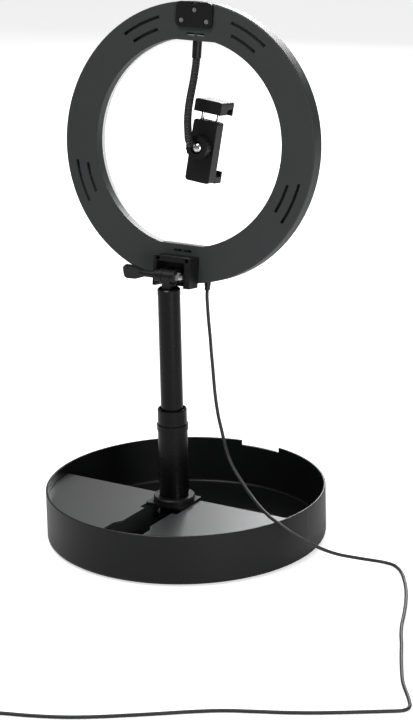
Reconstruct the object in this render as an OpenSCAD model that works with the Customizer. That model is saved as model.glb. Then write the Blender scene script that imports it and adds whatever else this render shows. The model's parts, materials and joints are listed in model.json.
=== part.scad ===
// Ring light with folding mast, round tray base, phone holder and USB lead.
// Millimetres, +Z up, tray centre on the floor at the origin, lit face toward +Y.

/* [Base] */
// Outer radius of the round tray
tray_r = 133; // [132:1:145]
// Height of the tray rim above the floor
tray_h = 49.5; // [48:0.5:60]
// Wall thickness of the tray
tray_wall = 2; // [1.6:0.2:2.4]
// Top of the raised platform
deck_z = 39.5; // [39.5:0.5:39.5]
// Width of the rim notch
notch_w = 44; // [30:1:60]

/* [Mast] */
// Outer radius of the lower tube
outer_tube_r = 14; // [13.5:0.1:14]
// Outer radius of the sliding tube
inner_tube_r = 10.5; // [9.5:0.1:10.5]
// Height of the tilt axis above the floor
hinge_z = 261; // [250:1:290]

/* [Ring] */
// Outer radius of the lamp ring
ring_r = 130; // [128:0.5:130]
// Radius of the hole through the ring
ring_hole_r = 96.5; // [92:0.5:97]
// Half height of the hole between its two flats
ring_flat = 94; // [90:0.5:95]
// Depth of the rear cover
cover_t = 10; // [9:0.5:12]
// Depth of the diffuser
diffuser_t = 5.2; // [4:0.2:8]
// Backward lean of the ring, degrees
lean = 9.95; // [0:0.05:15]
// Turn of the ring on the mast, degrees
turn = 3.75; // [-10:0.05:10]

/* [Holder] */
// Width of the phone clamp body
clamp_w = 25; // [22:0.5:30]
// Clear distance between the two jaw pads
jaw_gap = 61; // [58:0.5:61]
// Turn of the clamp on its ball, degrees
clamp_turn = 6; // [-45:1:45]

/* [Lead] */
// Radius of the USB lead
lead_r = 1.6; // [1.4:0.1:1.6]

/* [Hidden] */
$fn = 96;
mast_y = -20;
pivot_z = 22;
floor_z = 3.4;
deck_r = tray_r - tray_wall - 0.2;
ring_z = 122.1;
ring_y = 22;
bolt_r = 2.45;
foot_a = [45, 135, 225, 315];
post_xy = [[-62, -66], [62, -66], [-104, -26], [104, -26]];
ball = [6, 11, -4];
neck_dir = [-0.295, -0.886, 0.359];
goose_path = [
    [0, 7.6, 77], [0, 7.3, 72], [0, 6.2, 66], [0, 4.6, 58], [-0.5, 2.8, 49], [-1, 1.2, 40],
    [-1.2, 0, 32], [-1, -0.8, 25], [-0.6, -1.2, 19], [0, -1.25, 13.5], [0.5, -1.1, 8.5],
    [0.95, -0.95, 4.5], [1.2, -0.75, 3.1], [1.6, -0.3, 1.9], [2, 0.4, 0.9],
    [2.6, 1.4, 0], [3.2, 2.6, -0.6]
];
lead_path = [
    [24.2, 7.9, 243.8], [24.4, 7, 238], [24.7, 7, 230], [25.2, 7, 220], [26, 7, 209],
    [27, 7, 197], [28.4, 6, 184], [29.8, 5.5, 171], [31, 5, 158], [32.6, 4, 146],
    [34.6, 3, 135], [37.6, 1.5, 123], [41.4, 0, 112], [45.6, -2.5, 102], [50.4, -5.5, 92],
    [56, -9, 85.5], [62, -12.5, 80], [68, -15.5, 75.5], [74.5, -18.5, 71], [81, -22, 67],
    [88, -26, 63.5], [96, -31, 60.5], [105, -36.5, 57.8], [114, -42, 55.8], [123, -47, 54.2],
    [131.5, -50.5, 52.8], [140, -52.5, 50], [148, -53, 46.5], [156, -51.5, 42.5], [164, -47.5, 37.6],
    [171, -41, 32], [176.5, -33, 26.6], [181, -23, 21.2], [184.5, -12, 16.2], [188, -1.5, 11.6],
    [193, 8.5, 7.4], [199, 16.5, 4.2], [206, 21, 2.2], [213, 20.5, 1.6], [221, 15, 1.6],
    [229.5, 6, 1.6], [238, -6, 1.6], [247, -20, 1.6], [256.5, -37, 1.6], [266, -56, 1.6],
    [275, -76, 1.6], [284, -97, 1.6], [293, -115, 1.6], [303, -133, 1.6], [314, -154, 1.6],
    [326, -176, 1.6], [340, -200, 1.6], [354, -219, 1.6], [362, -230, 1.6], [367.5, -240, 1.6],
    [366, -248.5, 1.6], [354, -257, 1.6], [334, -270, 1.6], [310, -285, 1.6], [286, -298, 1.6],
    [262, -309, 1.6], [238, -320.5, 1.6], [216, -335, 1.6], [195, -351, 1.6], [174, -366.5, 1.6],
    [152, -382, 1.6], [130, -395, 1.6], [106, -405.5, 1.6], [84, -413, 1.6], [68, -419, 1.9],
    [56, -423, 2.8], [50, -424, 3.5], [45, -424, 3.6]
];
tail_path = [
    [-21, -424, 3.6], [-28, -424, 3.7], [-36, -424, 4], [-46, -424, 4.5], [-56, -424, 5],
    [-66, -424, 5.4], [-74, -424, 5.5], [-80, -424, 5.5]
];
end_path = [
    [-97.5, -406.5, 5.5], [-97.5, -399, 5.3], [-97.2, -391, 4.8], [-96.4, -383, 4.3],
    [-95, -375, 4.1], [-93.2, -367, 4], [-91.4, -360, 4], [-90.2, -354, 4], [-90, -349, 4], [-90, -343, 4]
];
coil_c = [-80, -406.5, 5.5];
remote_c = [12, -424, 0];

// ---- helpers ----
function unit(v) = v / norm(v);
function tangent(p, i) = unit(p[min(i + 1, len(p) - 1)] - p[max(i - 1, 0)]);
function flat_to(u, t) = unit(u - (u * t) * t);
function side_vectors(p, u0) = [
    for (i = 0, u = flat_to(u0, tangent(p, 0)); i < len(p);
         i = i + 1, u = i < len(p) ? flat_to(u, tangent(p, i)) : u) u
];
function rings(p, r, n, us) = [
    for (i = [0:len(p) - 1], k = [0:n - 1])
        p[i] + r * (cos(360 * k / n) * us[i] + sin(360 * k / n) * cross(tangent(p, i), us[i]))
];
function rounded(w, h, r) = [
    for (c = [[w / 2 - r, h / 2 - r, 0], [r - w / 2, h / 2 - r, 90],
              [r - w / 2, r - h / 2, 180], [w / 2 - r, r - h / 2, 270]], a = [0:15:90])
        [c[0] + r * cos(c[2] + a), c[1] + r * sin(c[2] + a)]
];

module sweep(p, r, n, u0) {
    m = len(p);
    pts = rings(p, r, n, side_vectors(p, u0));
    sides = [for (i = [0:m - 2], k = [0:n - 1])
        [i * n + k, i * n + (k + 1) % n, (i + 1) * n + (k + 1) % n, (i + 1) * n + k]];
    tris = [for (q = sides) each [[q[0], q[2], q[1]], [q[0], q[3], q[2]]]];
    first = [[for (k = [0:n - 1]) k]];
    last = [[for (k = [n - 1:-1:0]) (m - 1) * n + k]];
    polyhedron(points = pts, faces = concat(tris, first, last));
}

module plate(w, h, r, t) {
    linear_extrude(height = t) polygon(rounded(w, h, r));
}

module tube(ro, ri, z0, z1) {
    difference() {
        translate([0, 0, z0]) cylinder(r = ro, h = z1 - z0);
        translate([0, 0, z0 - 1]) cylinder(r = ri, h = z1 - z0 + 2);
    }
}

module on_mast() {
    translate([0, mast_y, 0]) children();
}

module head() {
    translate([0, mast_y, hinge_z]) rotate([0, 0, turn]) rotate([-lean, 0, 0]) children();
}

// ring frame: x right, y down, z from the rear face toward the lit face
module ring_frame() {
    head() translate([0, ring_y, ring_z]) rotate([-90, 0, 0]) children();
}

// same origin as the ring frame, but x right, y depth, z up
module ring_up() {
    head() translate([0, ring_y, ring_z]) children();
}

module holder_frame() {
    ring_up() translate(ball) rotate([0, clamp_turn, 0]) children();
}

module ring_hole(grow, z0, h) {
    intersection() {
        translate([0, 0, z0]) cylinder(r = ring_hole_r + grow, h = h);
        translate([-150, -ring_flat - grow, z0]) cube([300, 2 * (ring_flat + grow), h]);
    }
}

module along_x(r, x0, x1) {
    translate([x0, 0, 0]) rotate([0, 90, 0]) cylinder(r = r, h = x1 - x0);
}

module along_y(r, y0, y1) {
    translate([0, y0, 0]) rotate([-90, 0, 0]) cylinder(r = r, h = y1 - y0);
}

module half_disc(r, z0, h, y1) {
    intersection() {
        translate([0, 0, z0]) cylinder(r = r, h = h);
        translate([-r - 5, -r - 5, z0]) cube([2 * r + 10, r + 5 + y1, h]);
    }
}

// ---- base ----
module tray_shell() {
    ri = tray_r - tray_wall;
    color("#1d1d1f") difference() {
        rotate_extrude() polygon([
            [0, 1.2], [tray_r - 4, 1.2], [tray_r - 2.5, 1.5], [tray_r - 1.2, 2.4],
            [tray_r - 0.3, 3.7], [tray_r, 5.2], [tray_r, tray_h - 0.5], [tray_r - 0.5, tray_h],
            [ri + 0.5, tray_h], [ri, tray_h - 0.5], [ri, 5.6], [ri - 0.3, 4.5],
            [ri - 1.1, 3.7], [ri - 2.2, floor_z], [0, floor_z]]);
        rotate([0, 0, -2.2]) translate([-notch_w / 2, tray_r - 10, tray_h - 5])
            cube([notch_w, 20, 10]);
        for (p = post_xy) translate([p[0], p[1], 0]) {
            cylinder(r = 1.7, h = 10);
            cylinder(r = 3.2, h = 2.4);
        }
    }
}

module deck_cuts() {
    translate([-15.2, -140, 30]) cube([30.4, 140, 20]);
    translate([-20.5, -49, 30]) cube([41, 60, 20]);
    translate([0, 0, 30]) linear_extrude(height = 20)
        polygon([[-15.2, -86], [-20, -94], [-20, -140], [20, -140], [20, -94], [15.2, -86]]);
}

module platform() {
    color("#6b6d70") difference() {
        union() {
            difference() {
                half_disc(deck_r, deck_z - 2, 2, -8);
                deck_cuts();
            }
            for (s = [-1, 1]) {
                translate([s * 22.05 - 1.25, -118, floor_z]) cube([2.5, 110, deck_z - 1 - floor_z]);
                intersection() {
                    translate([0, 0, floor_z]) cylinder(r = deck_r - 3, h = deck_z - 1 - floor_z);
                    translate([s * 76.5 - 54, -10, floor_z]) cube([108, 2, deck_z - 1 - floor_z]);
                }
            }
            for (p = post_xy) translate([p[0], p[1], floor_z])
                cylinder(r = 4.5, h = deck_z - 1 - floor_z);
        }
        for (p = post_xy) translate([p[0], p[1], 0]) cylinder(r = 1.25, h = 16);
        translate([0, mast_y, pivot_z]) along_x(3.06, -30, 30);
    }
}

module ballast(s) {
    color("#8b8d90") difference() {
        half_disc(deck_r - 5, floor_z, 9, -14);
        translate([s > 0 ? -150 : -25, -150, 0]) cube([175, 300, 30]);
        for (p = post_xy) translate([p[0], p[1], 0]) cylinder(r = 5, h = 30);
    }
}

module ballast_left() {
    ballast(-1);
}

module ballast_right() {
    ballast(1);
}

module platform_screws() {
    color("#b8babd") for (p = post_xy) translate([p[0], p[1], 0]) difference() {
        union() {
            translate([0, 0, 1.3]) cylinder(r = 2.9, h = 1.1);
            translate([0, 0, 2.3]) cylinder(r = 1.25, h = 12);
        }
        translate([-2, -0.3, 1]) cube([4, 0.6, 0.8]);
        translate([-0.3, -2, 1]) cube([0.6, 4, 0.8]);
    }
}

module rubber_feet() {
    color("#242424") for (a = foot_a) rotate([0, 0, a]) translate([112, 0, 0])
        cylinder(r = 9, h = 1.2);
}

// ---- mast ----
module pivot_block() {
    color("#202022") translate([0, mast_y, 0]) difference() {
        union() {
            translate([0, 0, pivot_z - 6]) cylinder(r = 16.5, h = 14);
            translate([0, 0, pivot_z]) along_x(3, -23.5, 23.5);
        }
        cylinder(r = outer_tube_r, h = 60);
    }
}

module outer_tube() {
    color("#161617") on_mast() tube(outer_tube_r, outer_tube_r - 1.2, 12, 112);
}

module outer_tube_cap() {
    color("#161617") on_mast() tube(14.75, 13.45, 112, 117.5);
}

module foot_plate() {
    color("#232325") difference() {
        translate([0, -21.75, 39.8]) plate(40, 36.5, 2, 2);
        on_mast() cylinder(r = outer_tube_r, h = 60);
    }
}

module foot_collar() {
    color("#202022") on_mast() difference() {
        rotate_extrude() polygon([[14, 41.8], [19.5, 41.8], [19.5, 45.3], [18.6, 46.5], [14, 46.5]]);
        translate([-1, 12, 44]) cube([2, 10, 5]);
    }
}

module lock_collar() {
    color("#18181a") on_mast() rotate_extrude() polygon([
        [10.85, 110], [12.5, 110], [12.5, 117.6], [13.4, 117.6], [13.7, 118], [13.7, 131.9],
        [13.2, 132.7], [12.2, 132.7], [12.2, 130.2], [10.85, 130.2]]);
}

module guide_bush() {
    color("#d8d8d4") on_mast() tube(12.6, inner_tube_r + 0.06, 103.5, 109.5);
}

module inner_tube() {
    color("#121213") on_mast() tube(inner_tube_r, inner_tube_r - 1.2, 104, hinge_z - 17.5);
}

module tube_end_cap() {
    color("#1c1c1e") on_mast() difference() {
        union() {
            translate([0, 0, hinge_z - 26]) cylinder(r = inner_tube_r - 1.2, h = 9);
            rotate_extrude() polygon([[0, hinge_z - 17.5], [10.7, hinge_z - 17.5], [10.7, hinge_z - 12],
                [9.7, hinge_z - 11], [0, hinge_z - 11]]);
        }
        translate([0, 0, hinge_z - 19]) cylinder(r = 3.5, h = 20);
    }
}

module neck_post() {
    color("#1c1c1e") on_mast() translate([0, 0, hinge_z]) rotate([0, 0, turn]) difference() {
        union() {
            translate([-4.25, -6, -11]) cube([8.5, 12, 9]);
            translate([0, 0, -18]) cylinder(r = 3.5, h = 8);
            along_x(6.5, -4.25, 4.25);
        }
        along_x(bolt_r + 0.05, -10, 10);
    }
}

// ---- ring ----
module arc_slot(r, w, mid, half) {
    rotate([0, 0, mid - 90 - half]) rotate_extrude(angle = 2 * half)
        translate([r - w / 2, -1]) square([w, 4]);
}

module rear_cover() {
    color("#3a3b3b") ring_frame() difference() {
        union() {
            difference() {
                rotate_extrude() polygon([[0, 0], [ring_r - 1, 0], [ring_r - 0.3, 0.3],
                    [ring_r, 1], [ring_r, cover_t + diffuser_t - 1],
                    [ring_r - 2, cover_t + diffuser_t - 1], [ring_r - 2, cover_t], [0, cover_t]]);
                difference() {
                    translate([0, 0, 2]) cylinder(r = ring_r - 2, h = cover_t);
                    ring_hole(2, 0, 20);
                }
            }
            for (a = [22.5:45:360]) rotate([0, 0, a]) translate([113.5, 0, 1.5])
                cylinder(r = 3, h = 3.5);
        }
        ring_hole(0, -1, 20);
        for (m = [-112.5, -28, 28, 112.5]) {
            arc_slot(119.2, 3, m, 9.75);
            arc_slot(108.5, 3, m, 7.5);
        }
        for (s = [-1, 1]) {
            translate([-8, s * 99.8 - 1.25, -1]) cube([8.6, 2.5, 4]);
            translate([2, s * 99.8 - 1.25, -1]) cube([8.6, 2.5, 4]);
        }
        for (a = [22.5:45:360]) rotate([0, 0, a]) translate([113.5, 0, 2.4])
            cylinder(r = 1.1, h = 6);
        translate([26, 120, 6.8]) along_y(2, 0, 20);
    }
}

module led_board() {
    color("#d9dad4") ring_frame() difference() {
        translate([0, 0, 5]) cylinder(r = 127, h = 1.6);
        translate([0, 0, 4]) cylinder(r = 99.5, h = 4);
        for (a = [22.5:45:360]) rotate([0, 0, a]) translate([113.5, 0, 0]) cylinder(r = 1.1, h = 20);
    }
}

module leds() {
    color("#f0e6a0") ring_frame() for (a = [0:12:359]) {
        rotate([0, 0, a]) translate([105, -1.5, 6.6]) cube([3, 3, 0.9]);
        rotate([0, 0, a + 6]) translate([119, -1.5, 6.6]) cube([3, 3, 0.9]);
    }
}

module diffuser() {
    color("#f4f4f1") ring_frame() difference() {
        rotate_extrude() polygon([[0, cover_t], [ring_r - 2.1, cover_t],
            [ring_r - 2.1, cover_t + diffuser_t - 1], [ring_r, cover_t + diffuser_t - 1],
            [ring_r - 0.2, cover_t + diffuser_t - 0.4], [ring_r - 0.9, cover_t + diffuser_t],
            [0, cover_t + diffuser_t]]);
        difference() {
            translate([0, 0, cover_t - 1]) cylinder(r = ring_r - 4, h = diffuser_t - 1);
            ring_hole(2, 0, 40);
        }
        ring_hole(0, 0, 40);
    }
}

module board_screws() {
    color("#c4c6c8") ring_frame() for (a = [22.5:45:360]) rotate([0, 0, a]) translate([113.5, 0, 0])
        union() {
            translate([0, 0, 6.6]) cylinder(r = 2.3, h = 1.2);
            translate([0, 0, 2.6]) cylinder(r = 1.1, h = 4.5);
        }
}

module top_plate() {
    color("#2a2b2c") ring_frame() difference() {
        translate([0, -117.75, -2.8]) plate(37.6, 23.5, 5, 2.8);
        translate([-3, -132, -4]) cube([6, 4.6, 6]);
        for (p = [[0, -122], [-13, -112], [13, -112]]) translate([p[0], p[1], -4]) cylinder(r = 2.7, h = 3);
    }
}

module top_plate_screws() {
    color("#c4c6c8") ring_frame() for (p = [[0, -122], [-13, -112], [13, -112]])
        translate([p[0], p[1], -2.4]) difference() {
            cylinder(r = 2.1, h = 1.4);
            translate([-1.5, -0.25, -1]) cube([3, 0.5, 1.5]);
            translate([-0.25, -1.5, -1]) cube([0.5, 3, 1.5]);
        }
}

module hinge_bracket() {
    color("#242526") head() difference() {
        union() {
            difference() {
                translate([-19.3, 5, -10.5]) cube([38.6, 17, 28.5]);
                translate([-16, 4, -12]) cube([29, 14, 25]);
                translate([-30, -1, 20.5]) rotate([32, 0, 0]) cube([60, 20, 20]);
            }
            for (s = [-1, 1]) {
                translate([s * 6.325 - 1.675, 0, -4]) cube([3.35, 18.5, 10.8]);
                along_x(6.8, s * 6.325 - 1.675, s * 6.325 + 1.675);
            }
        }
        along_x(bolt_r + 0.05, -12, 12);
        for (p = [[-15, 15.4], [15, 15.4]]) translate([p[0], 4, p[1]]) along_y(2, 0, 10.4);
    }
}

module bracket_screws() {
    color("#c4c6c8") head() for (p = [[-15, 15.4], [15, 15.4]]) translate([p[0], 0, p[1]])
        difference() {
            along_y(1.8, 13, 14.4);
            translate([-1.4, 12.8, -0.25]) cube([2.8, 0.7, 0.5]);
        }
}

module holder_ferrule() {
    color("#161617") ring_up() translate([0, 7.6, 0]) difference() {
        translate([0, 0, 78]) cylinder(r = 4.3, h = ring_flat - 78);
        translate([0, 0, 77]) cylinder(r = 3.75, h = 5);
    }
}

module cord_gland() {
    color("#1c1c1e") head() translate([26, ring_y + 6.8, -12.3]) difference() {
        union() {
            cylinder(r = 2.6, h = 5);
            translate([0, 0, 4]) cylinder(r = 3, h = 5.5);
        }
        translate([0, 0, -1]) cylinder(r = lead_r, h = 5);
        ring_cut();
    }
}

module ring_cut() {
    translate([-26, 0, ring_z + 12.3]) rotate([-90, 0, 0]) translate([0, 0, -20])
        cylinder(r = ring_r, h = 40);
}

module tilt_nut() {
    color("#c9cbcd") head() difference() {
        translate([8.1, 0, 0]) rotate([0, 90, 0]) cylinder(r = 4.6, h = 4.3, $fn = 6);
        along_x(bolt_r + 0.05, 5, 20);
    }
}

module tilt_bolt() {
    color("#d4d6d8") head() union() {
        along_x(bolt_r, -20, 14);
        along_x(bolt_r - 0.6, 13, 15);
    }
}

module tilt_knob() {
    color("#18181a") head() difference() {
        union() {
            along_x(5.5, -13, -8.1);
            along_x(3.2, -30, -12);
            rotate([22, 0, 0]) rotate([90, 0, 0]) linear_extrude(height = 4, center = true) polygon([
                [-26, -3], [-30, -4.4], [-35, -6.2], [-44, -6.6], [-46.4, -5.4], [-47, -3],
                [-47, 3], [-46.4, 5.4], [-44, 6.6], [-35, 6.2], [-30, 4.4], [-26, 3]]);
        }
        along_x(bolt_r, -20, 0);
    }
}

// ---- phone holder ----
module gooseneck_tube() {
    color("#161617") ring_up() union() {
        sweep(goose_path, 3.65, 16, [1, 0, 0]);
        translate(goose_path[0]) sphere(r = 3.6, $fn = 32);
    }
}

module along_neck(r, a, b) {
    translate(neck_dir * a) rotate([0, 0, atan2(neck_dir[1], neck_dir[0])])
        rotate([0, acos(neck_dir[2]), 0]) cylinder(r = r, h = b - a);
}

module ball_stud() {
    color("#d4d6d8") ring_up() translate(ball) union() {
        sphere(r = 6);
        along_neck(2.6, 3, 9);
    }
}

module ball_nut() {
    color("#18181a") ring_up() translate(ball) difference() {
        along_y(11, -5, 5);
        along_y(8.4, -2.3, 6);
        along_y(5.9, -6, 0);
        for (a = [0:20:359]) rotate([0, a, 0]) translate([11.5, 0, 0]) along_y(1, -6, 6);
    }
}

module clamp_body() {
    color("#18181a") holder_frame() difference() {
        union() {
            translate([0, 19, -4]) rotate([90, 0, 0]) plate(clamp_w, 58, 3, 13);
            along_y(8.3, -2, 7);
        }
        sphere(r = 6.05);
        along_y(5.6, -8, -1);
        for (s = [-1, 1]) translate([s * 8, 14, 0]) {
            translate([0, 0, -40]) cylinder(r = 3.3, h = 56);
            translate([0, 0, -40]) cylinder(r = 1.56, h = 80);
        }
    }
}

module lower_jaw() {
    color("#18181a") holder_frame() union() {
        translate([-clamp_w / 2, 19, -33]) cube([clamp_w, 12, 6]);
        translate([-clamp_w / 2, 29, -28]) cube([clamp_w, 2, 6]);
    }
}

module lower_pad() {
    color("#2c2c2d") holder_frame() translate([-10.5, 19.5, -27]) cube([21, 9, 1]);
}

module back_pad() {
    color("#2c2c2d") holder_frame() translate([-8, 19, -20]) cube([16, 0.8, 36]);
}

module upper_jaw() {
    z0 = jaw_gap - 25;
    color("#18181a") holder_frame() difference() {
        union() {
            translate([0, 31, z0 + 4]) rotate([90, 0, 0]) plate(28, 8, 2.5, 25);
            translate([-14, 29, z0 - 5]) cube([28, 2, 8]);
            translate([-14, 6, z0 - 4]) cube([28, 12.8, 7]);
        }
        for (s = [-1, 1]) translate([s * 8, 14, z0 - 5]) cylinder(r = 1.5, h = 10);
    }
}

module upper_pad() {
    color("#2c2c2d") holder_frame() translate([-11, 19.5, jaw_gap - 26]) cube([22, 9, 1]);
}

module guide_rails() {
    color("#d4d6d8") holder_frame() for (s = [-1, 1]) translate([s * 8, 14, -22]) union() {
        cylinder(r = 2.8, h = 2);
        cylinder(r = 1.5, h = jaw_gap + 1.5);
    }
}

// ---- in-line remote ----
module remote_frame() {
    translate(remote_c) children();
}

module remote_lower() {
    color("#1c1c1e") remote_frame() difference() {
        plate(72, 16, 5, 4.4);
        translate([0, 0, 1.4]) plate(66, 12.8, 3.5, 5);
        translate([0, 0, 3.6]) along_x(lead_r, -40, 40);
    }
}

module remote_upper() {
    color("#1c1c1e") remote_frame() difference() {
        translate([0, 0, 4.4]) plate(72, 16, 5, 4.4);
        translate([0, 0, 3]) plate(66, 12.8, 3.5, 4.2);
        translate([0, 0, 3.6]) along_x(lead_r, -40, 40);
        for (x = [-18, 0, 18]) translate([x, 0, 0]) cylinder(r = 4.1, h = 20);
    }
}

module remote_board() {
    color("#2f6b3c") remote_frame() translate([-29, -5.5, 1.4]) cube([58, 11, 1.2]);
}

module button(x) {
    color("#8c8e90") remote_frame() translate([x, 0, 0]) union() {
        translate([0, 0, 6.9]) cylinder(r = 4, h = 2.6);
        translate([0, 0, 6.2]) cylinder(r = 5, h = 0.9);
        translate([0, 0, 4]) cylinder(r = 1.2, h = 3);
    }
}

module button_power() {
    button(-18);
}

module button_color() {
    button(0);
}

module button_dim() {
    button(18);
}

// ---- lead ----
module cord_main() {
    color("#2b2b2c") sweep(lead_path, lead_r, 8, [1, 0, 0]);
}

module cord_tail() {
    color("#2b2b2c") sweep(tail_path, lead_r, 8, [0, 0, 1]);
}

module cord_coil() {
    color("#2b2b2c") translate(coil_c) rotate_extrude() translate([17.5, 0]) circle(r = 4.8);
}

module coil_tie() {
    color("#101010") translate(coil_c) rotate([0, 0, -13]) rotate_extrude(angle = 26)
        translate([17.5, 0]) difference() {
            circle(r = 5.5);
            circle(r = 4.9);
        }
}

module cord_end() {
    color("#2b2b2c") sweep(end_path, lead_r, 8, [0, 0, 1]);
}

module usb_grip() {
    color("#202022") translate([-90, -346, 4]) difference() {
        union() {
            rotate([-90, 0, 0]) plate(16, 8, 1.6, 24);
            along_y(2.6, -8, 1);
        }
        along_y(lead_r, -9, 3);
    }
}

module usb_shell() {
    color("#c9cbcd") translate([-90, -322, 4]) difference() {
        translate([-6, 0, -2.25]) cube([12, 12, 4.5]);
        translate([-5.6, 1, 0]) cube([11.2, 12, 1.9]);
        for (x = [-3.6, 1.4]) translate([x, 7, 1]) cube([2.2, 2.2, 3]);
    }
}

tray_shell();
platform();
ballast_left();
ballast_right();
platform_screws();
rubber_feet();
pivot_block();
outer_tube();
outer_tube_cap();
foot_plate();
foot_collar();
lock_collar();
guide_bush();
inner_tube();
tube_end_cap();
neck_post();
rear_cover();
led_board();
leds();
diffuser();
board_screws();
top_plate();
top_plate_screws();
hinge_bracket();
bracket_screws();
holder_ferrule();
cord_gland();
tilt_nut();
tilt_bolt();
tilt_knob();
gooseneck_tube();
ball_stud();
ball_nut();
clamp_body();
lower_jaw();
lower_pad();
back_pad();
upper_jaw();
upper_pad();
guide_rails();
remote_lower();
remote_upper();
remote_board();
button_power();
button_color();
button_dim();
cord_main();
cord_tail();
cord_coil();
coil_tie();
cord_end();
usb_grip();
usb_shell();
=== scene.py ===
import json
import math

import bpy
from mathutils import Matrix, Vector


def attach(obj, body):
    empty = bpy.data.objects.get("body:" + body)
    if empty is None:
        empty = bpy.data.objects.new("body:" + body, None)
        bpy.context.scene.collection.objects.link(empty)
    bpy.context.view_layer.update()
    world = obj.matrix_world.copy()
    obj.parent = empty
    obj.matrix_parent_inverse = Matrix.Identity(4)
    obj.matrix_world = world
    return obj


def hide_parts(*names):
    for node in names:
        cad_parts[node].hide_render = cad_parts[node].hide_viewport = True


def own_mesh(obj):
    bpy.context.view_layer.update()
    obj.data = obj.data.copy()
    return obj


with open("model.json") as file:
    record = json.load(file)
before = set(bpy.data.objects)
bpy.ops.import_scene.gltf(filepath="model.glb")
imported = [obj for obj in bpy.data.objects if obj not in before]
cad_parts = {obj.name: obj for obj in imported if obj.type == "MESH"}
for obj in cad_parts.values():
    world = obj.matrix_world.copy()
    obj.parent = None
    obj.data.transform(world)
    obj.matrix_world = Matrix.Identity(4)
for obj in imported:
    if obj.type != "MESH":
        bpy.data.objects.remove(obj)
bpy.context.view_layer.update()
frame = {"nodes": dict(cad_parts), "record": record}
NODES = frame["nodes"]

# ---------- camera ----------
cam_data = bpy.data.cameras.new("camera")
cam_data.lens = 139.6
cam_data.sensor_width = 36
cam_data.clip_end = 50
cam = bpy.data.objects.new("camera", cam_data)
bpy.context.scene.collection.objects.link(cam)
RIGHT = Vector((0.84899, 0.52796, -0.02197))
UP = Vector((-0.14826, 0.27792, 0.94909))
BACK = Vector((0.50719, -0.80251, 0.31423))
rot = Matrix((RIGHT, UP, BACK)).transposed().to_4x4()
cam.matrix_world = Matrix.Translation((1.34605, -2.08767, 0.99561)) @ rot
bpy.context.scene.camera = cam
bpy.context.scene.view_settings.view_transform = "Standard"


# ---------- materials ----------
PATCH_SCALE = 14.0
GRAIN_SCALE = 1320.0

def surface(name, color, rough, metal=0.0, bump=0.08, vary=0.12, bands=0.0, spec=0.5, glow=0.0):
    m = bpy.data.materials.new(name)
    m.use_nodes = True
    nt = m.node_tree
    b = nt.nodes["Principled BSDF"]
    co = nt.nodes.new("ShaderNodeTexCoord")
    big = nt.nodes.new("ShaderNodeTexNoise")
    big.inputs["Scale"].default_value = PATCH_SCALE
    fine = nt.nodes.new("ShaderNodeTexNoise")
    fine.inputs["Scale"].default_value = GRAIN_SCALE
    for n in (big, fine):
        nt.links.new(co.outputs["Object"], n.inputs["Vector"])
    mix = nt.nodes.new("ShaderNodeMix")
    mix.data_type = "RGBA"
    mix.inputs["A"].default_value = (*[c * (1 - vary) for c in color], 1)
    mix.inputs["B"].default_value = (*[min(1.0, c * (1 + vary)) for c in color], 1)
    nt.links.new(big.outputs[0], mix.inputs["Factor"])
    nt.links.new(mix.outputs["Result"], b.inputs["Base Color"])
    rr = nt.nodes.new("ShaderNodeMapRange")
    rr.inputs["To Min"].default_value = max(0.02, rough * 0.85)
    rr.inputs["To Max"].default_value = min(1.0, rough * 1.15)
    nt.links.new(fine.outputs[0], rr.inputs["Value"])
    nt.links.new(rr.outputs[0], b.inputs["Roughness"])
    bn = nt.nodes.new("ShaderNodeBump")
    bn.inputs["Strength"].default_value = bump
    bn.inputs["Distance"].default_value = 0.0003
    height = fine.outputs[0]
    if bands:
        w = nt.nodes.new("ShaderNodeTexWave")
        w.bands_direction = "Z"
        w.inputs["Scale"].default_value = bands
        nt.links.new(co.outputs["Object"], w.inputs["Vector"])
        height = w.outputs["Fac"]
        bn.inputs["Distance"].default_value = 0.0012
    nt.links.new(height, bn.inputs["Height"])
    nt.links.new(bn.outputs[0], b.inputs["Normal"])
    b.inputs["Metallic"].default_value = metal
    b.inputs["Specular IOR Level"].default_value = spec
    if glow:
        b.inputs["Emission Color"].default_value = (1, 1, 1, 1)
        b.inputs["Emission Strength"].default_value = glow
    return m


LOOK = {
    "tray_black": surface("tray_black", (0.0062, 0.0065, 0.007), 0.38, spec=0.3),
    "deck_grey": surface("deck_grey", (0.09, 0.092, 0.095), 0.36, metal=0.5, spec=0.8),
    "steel": surface("steel", (0.25, 0.25, 0.26), 0.5, metal=0.9),
    "screw_steel": surface("screw_steel", (0.62, 0.63, 0.64), 0.28, metal=1.0),
    "rubber_black": surface("rubber_black", (0.02, 0.02, 0.02), 0.8, bump=0.3),
    "mast_black": surface("mast_black", (0.0028, 0.0029, 0.003), 0.27, spec=0.22, bump=0.02),
    "moulded_black": surface("moulded_black", (0.006, 0.006, 0.0065), 0.4, spec=0.35, bump=0.2),
    "white_bush": surface("white_bush", (0.7, 0.7, 0.66), 0.5),
    "cover_black": surface("cover_black", (0.036, 0.038, 0.0385), 0.45, spec=0.4, bump=0.1),
    "board_white": surface("board_white", (0.05, 0.05, 0.05), 0.6),
    "led_yellow": surface("led_yellow", (0.85, 0.75, 0.3), 0.3),
    "diffuser_white": surface("diffuser_white", (0.86, 0.87, 0.86), 0.4, vary=0.03, glow=0.12),
    "bright_chrome": surface("bright_chrome", (0.8, 0.81, 0.82), 0.12, metal=1.0, bump=0.01),
    "gooseneck_black": surface("gooseneck_black", (0.012, 0.012, 0.013), 0.35, bands=130.0, bump=0.9),
    "board_green": surface("board_green", (0.03, 0.14, 0.05), 0.45),
    "button_grey": surface("button_grey", (0.25, 0.26, 0.27), 0.7, bump=0.2),
    "lead_black": surface("lead_black", (0.018, 0.018, 0.019), 0.5, bump=0.1),
}
for part in frame["record"]["subparts"]:
    o = NODES[part["node"]]
    if not o.material_slots:
        o.data.materials.append(LOOK[part["material_slot"]])
    for s in o.material_slots:
        s.material = LOOK[part["material_slot"]]


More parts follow.
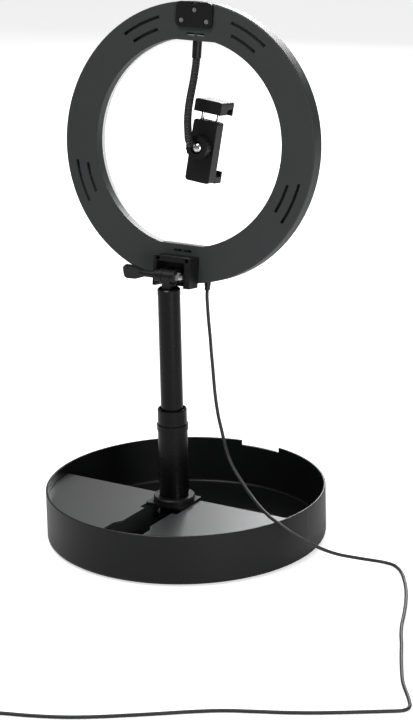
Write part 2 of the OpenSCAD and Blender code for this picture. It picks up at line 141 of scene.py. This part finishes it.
# ---------- lead ----------
def smooth(points, step):
    p = [Vector(q) / 1000 for q in points]
    p = [p[0] * 2 - p[1]] + p + [p[-1] * 2 - p[-2]]
    out = []
    for i in range(1, len(p) - 2):
        n = max(1, round((p[i + 1] - p[i]).length / step))
        for k in range(n):
            t = k / n
            a, b, c, d = p[i - 1:i + 3]
            out.append(0.5 * (2 * b + (c - a) * t + (2 * a - 5 * b + 4 * c - d) * t * t
                              + (3 * b - a - 3 * c + d) * t ** 3))
    return out + [p[-2]]


def tube(name, path, radius, sides=12):
    verts, faces = [], []
    u = Vector((1, 0, 0))
    for i, q in enumerate(path):
        t = (path[min(i + 1, len(path) - 1)] - path[max(i - 1, 0)]).normalized()
        u = u - t * u.dot(t)
        if u.length < 1e-3:
            u = Vector((0, 1, 0)) - t * t.y
        u.normalize()
        w = t.cross(u)
        for k in range(sides):
            a = 2 * math.pi * k / sides
            verts.append(q + radius * (math.cos(a) * u + math.sin(a) * w))
    for i in range(len(path) - 1):
        for k in range(sides):
            j = (k + 1) % sides
            faces.append((i * sides + k, i * sides + j, (i + 1) * sides + j, (i + 1) * sides + k))
    faces.append(tuple(reversed(range(sides))))
    faces.append(tuple((len(path) - 1) * sides + k for k in range(sides)))
    me = bpy.data.meshes.new(name)
    me.from_pydata(verts, [], faces)
    for f in me.polygons:
        f.use_smooth = len(f.vertices) == 4
    me.materials.append(LOOK["lead_black"])
    o = bpy.data.objects.new(name, me)
    bpy.context.scene.collection.objects.link(o)
    return o


LEAD = [
    (24.2, 7.9, 243.8), (24.4, 7, 238), (24.7, 7, 230), (25.2, 7, 220), (26, 7, 209),
    (27, 7, 197), (28.4, 6, 184), (29.8, 5.5, 171), (31, 5, 158), (32.6, 4, 146),
    (34.6, 3, 135), (37.6, 1.5, 123), (41.4, 0, 112), (45.6, -2.5, 102), (50.4, -5.5, 92),
    (56, -9, 85.5), (62, -12.5, 80), (68, -15.5, 75.5), (74.5, -18.5, 71), (81, -22, 67),
    (88, -26, 63.5), (96, -31, 60.5), (105, -36.5, 57.8), (114, -42, 55.8), (123, -47, 54.2),
    (131.5, -50.5, 52.8), (140, -52.5, 50), (148, -53, 46.5), (156, -51.5, 42.5), (164, -47.5, 37.6),
    (171, -41, 32), (176.5, -33, 26.6), (181, -23, 21.2), (184.5, -12, 16.2), (188, -1.5, 11.6),
    (193, 8.5, 7.4), (199, 16.5, 4.2), (206, 21, 2.2), (213, 20.5, 1.7), (221, 15, 1.7),
    (229.5, 6, 1.7), (238, -6, 1.7), (247, -20, 1.7), (256.5, -37, 1.7), (266, -56, 1.7),
    (275, -76, 1.7), (284, -97, 1.7), (293, -115, 1.7), (303, -133, 1.7), (314, -154, 1.7),
    (326, -176, 1.7), (340, -200, 1.7), (354, -219, 1.7), (362, -230, 1.7), (367.5, -240, 1.7),
    (366, -248.5, 1.7), (354, -257, 1.7), (334, -270, 1.7), (310, -285, 1.7), (286, -298, 1.7),
    (262, -309, 1.7), (238, -320.5, 1.7), (216, -335, 1.7), (195, -351, 1.7), (174, -366.5, 1.7),
    (152, -382, 1.7), (130, -395, 1.7), (106, -405.5, 1.7), (84, -413, 1.7), (68, -419, 1.9),
    (56, -423, 2.8), (50, -424, 3.5), (45, -424, 3.6),
]
main_path = smooth(LEAD, 0.003)
lead_main = tube("lead_main", main_path, 0.0016)
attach(lead_main, "base")
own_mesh(lead_main)
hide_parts("cord_main")

# The spare length: two turns inward, a quarter turn up, two turns outward on top.
COIL_STEPS = 24
TAIL = [
    (-24.5, -424, 3.6), (-32, -424.3, 3.4), (-42, -425.2, 2.6),
    (-54, -426.5, 1.9), (-66, -427.2, 1.7),
]
for i in range(4 * COIL_STEPS + 7):
    turns = i / COIL_STEPS
    if turns <= 2:
        r, z = 21 - 3.4 * turns, 1.7
    elif turns <= 2.25:
        r, z = 14.2, 1.7 + 3.4 * (turns - 2) / 0.25
    else:
        r, z = 14.2 + 3.4 * (turns - 2.25), 5.1
    a = math.radians(-90 - 360 * turns)
    TAIL.append((-80 + r * math.cos(a), -406.5 + r * math.sin(a), z))
TAIL += [(-101, -398, 5), (-100, -388, 4.4), (-97, -376, 4), (-93, -364, 4), (-90.5, -356, 4),
         (-90, -350, 4), (-90, -343.5, 4)]
tail_path = smooth(TAIL, 0.003)
lead_tail = tube("lead_tail", tail_path, 0.0016)
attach(lead_tail, "base")
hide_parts("cord_tail", "cord_coil", "cord_end")

# ---------- floor and light ----------
bpy.ops.mesh.primitive_plane_add(size=14, location=(0, 0, -0.0002))
floor = bpy.context.object
floor.name = "floor"
floor.data.materials.append(
    surface("floor_white", (0.93, 0.93, 0.93), 0.9, bump=0.0, vary=0.01, spec=0.0, glow=0.22)
)


def seen_only(tree, socket, straight, other):
    path = tree.nodes.new("ShaderNodeLightPath")
    span = tree.nodes.new("ShaderNodeMapRange")
    span.inputs["To Min"].default_value = other
    span.inputs["To Max"].default_value = straight
    tree.links.new(path.outputs["Is Camera Ray"], span.inputs["Value"])
    tree.links.new(span.outputs[0], socket)


floor_tree = floor.data.materials[0].node_tree
seen_only(floor_tree, floor_tree.nodes["Principled BSDF"].inputs["Emission Strength"], 0.62, 0.0)

world = bpy.data.worlds.new("studio")
world.use_nodes = True
world.node_tree.nodes["Background"].inputs["Color"].default_value = (1, 1, 1, 1)
seen_only(world.node_tree, world.node_tree.nodes["Background"].inputs["Strength"], 1.0, 0.2)
bpy.context.scene.world = world
TARGET = Vector((0, 0, 0.2))


def softbox(name, offset, size, power):
    d = bpy.data.lights.new(name, "AREA")
    d.shape = "RECTANGLE"
    d.size, d.size_y = size
    d.energy = power
    o = bpy.data.objects.new(name, d)
    bpy.context.scene.collection.objects.link(o)
    o.visible_camera = False
    pos = TARGET + RIGHT * offset[0] + UP * offset[1] + BACK * offset[2]
    aim = (TARGET - pos).to_track_quat("-Z", "Y").to_matrix().to_4x4()
    o.matrix_world = Matrix.Translation(pos) @ aim


softbox("key", (-0.7, 1.6, 1.2), (0.9, 0.9), 24)
softbox("strip", (0.6, -0.2, 1.3), (0.3, 0.8), 7)
softbox("back", (0.55, 1.25, -1.5), (0.9, 0.6), 24)
